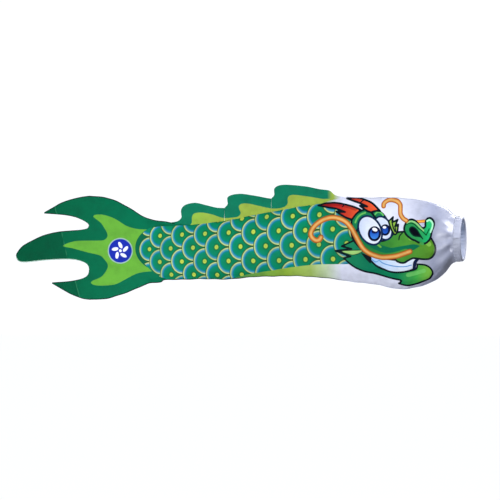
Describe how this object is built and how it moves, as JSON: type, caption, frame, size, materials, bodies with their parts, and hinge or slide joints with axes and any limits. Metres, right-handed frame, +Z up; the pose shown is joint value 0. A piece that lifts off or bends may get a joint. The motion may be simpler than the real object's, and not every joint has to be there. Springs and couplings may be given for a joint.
{
  "type": "carp streamer",
  "caption": "Flying cloth fish streamer: a hooped mouth, a sewn tube body that sways, fins along the back and a tail cut into prongs.",
  "frame": {"origin": "centre of the mouth hoop, flying upright", "axes": "+X forward out of the mouth, +Z up towards the back fins, +Y to the fish's left"},
  "size_m": [1.2125, 0.12, 0.3046],
  "materials": {
    "white_satin": "satin-woven polyester, white",
    "head_print": "satin-woven polyester, printed face on white",
    "scale_print": "satin-woven polyester, printed green scales",
    "tail_print": "satin-woven polyester, printed dark green with a lime star",
    "fin_print": "satin-woven polyester, printed green with a lime inner shape",
    "hoop_wire": "bare drawn spring wire",
    "ferrule_metal": "crimped sleeve",
    "eyelet_metal": "bright nickel plate"
  },
  "bodies": {
    "head": {"mouth_hoop": "hoop_wire", "hoop_ferrule": "ferrule_metal", "mouth_hem": "white_satin", "eyelet_back": "eyelet_metal", "eyelet_belly": "eyelet_metal", "head_left": "head_print", "head_right": "head_print"},
    "forebody": {"fore_left": "scale_print", "fore_right": "scale_print"},
    "midbody": {"mid_left": "scale_print", "mid_right": "scale_print"},
    "hindbody": {"hind_left": "scale_print", "hind_right": "scale_print"},
    "tail": {"tail_left": "tail_print", "tail_right": "tail_print"},
    "front_fin": {"fin_front": "fin_print"},
    "middle_fin": {"fin_middle": "fin_print"},
    "rear_fin": {"fin_rear": "fin_print"},
    "upper_prong": {"upper_prong_left": "tail_print", "upper_prong_right": "tail_print"},
    "middle_prong": {"middle_prong_left": "tail_print", "middle_prong_right": "tail_print"},
    "lower_prong": {"lower_prong_left": "tail_print", "lower_prong_right": "tail_print"}
  },
  "joints": [
    {"name": "neck_sway", "type": "hinge", "parent": "head", "child": "forebody", "pos_m": [-0.314, 0, 0], "axis": [0, 0, 1], "range_deg": [-20, 20]},
    {"name": "front_sway", "type": "hinge", "parent": "forebody", "child": "midbody", "pos_m": [-0.513, 0, 0], "axis": [0, 0, 1], "range_deg": [-20, 20]},
    {"name": "rear_sway", "type": "hinge", "parent": "midbody", "child": "hindbody", "pos_m": [-0.64, 0, 0], "axis": [0, 0, 1], "range_deg": [-20, 20]},
    {"name": "tail_sway", "type": "hinge", "parent": "hindbody", "child": "tail", "pos_m": [-0.812, 0, 0], "axis": [0, 0, 1], "range_deg": [-20, 20]},
    {"name": "front_fin_lean", "type": "hinge", "parent": "forebody", "child": "front_fin", "pos_m": [-0.513, 0, 0.0736], "axis": [0.9832, 0, 0.1828], "range_deg": [-30, 30], "stiffness_Nm_per_rad": 0.02},
    {"name": "middle_fin_lean", "type": "hinge", "parent": "midbody", "child": "middle_fin", "pos_m": [-0.64, 0, 0.0496], "axis": [0.9826, 0, 0.1857], "range_deg": [-30, 30], "stiffness_Nm_per_rad": 0.02},
    {"name": "rear_fin_lean", "type": "hinge", "parent": "hindbody", "child": "rear_fin", "pos_m": [-0.772, 0, 0.0415], "axis": [0.9982, 0, 0.0605], "range_deg": [-30, 30], "stiffness_Nm_per_rad": 0.02},
    {"name": "upper_prong_flex", "type": "hinge", "parent": "tail", "child": "upper_prong", "pos_m": [-1.008, 0, 0], "axis": [0, 0, 1], "range_deg": [-40, 40]},
    {"name": "middle_prong_flex", "type": "hinge", "parent": "tail", "child": "middle_prong", "pos_m": [-1.008, 0, 0], "axis": [0, 0, 1], "range_deg": [-40, 40]},
    {"name": "lower_prong_flex", "type": "hinge", "parent": "tail", "child": "lower_prong", "pos_m": [-1.008, 0, 0], "axis": [0, 0, 1], "range_deg": [-40, 40]}
  ],
  "couplings": [
    {"joint": "middle_fin_lean", "follows": "front_fin_lean", "ratio": 1},
    {"joint": "rear_fin_lean", "follows": "front_fin_lean", "ratio": 1}
  ]
}
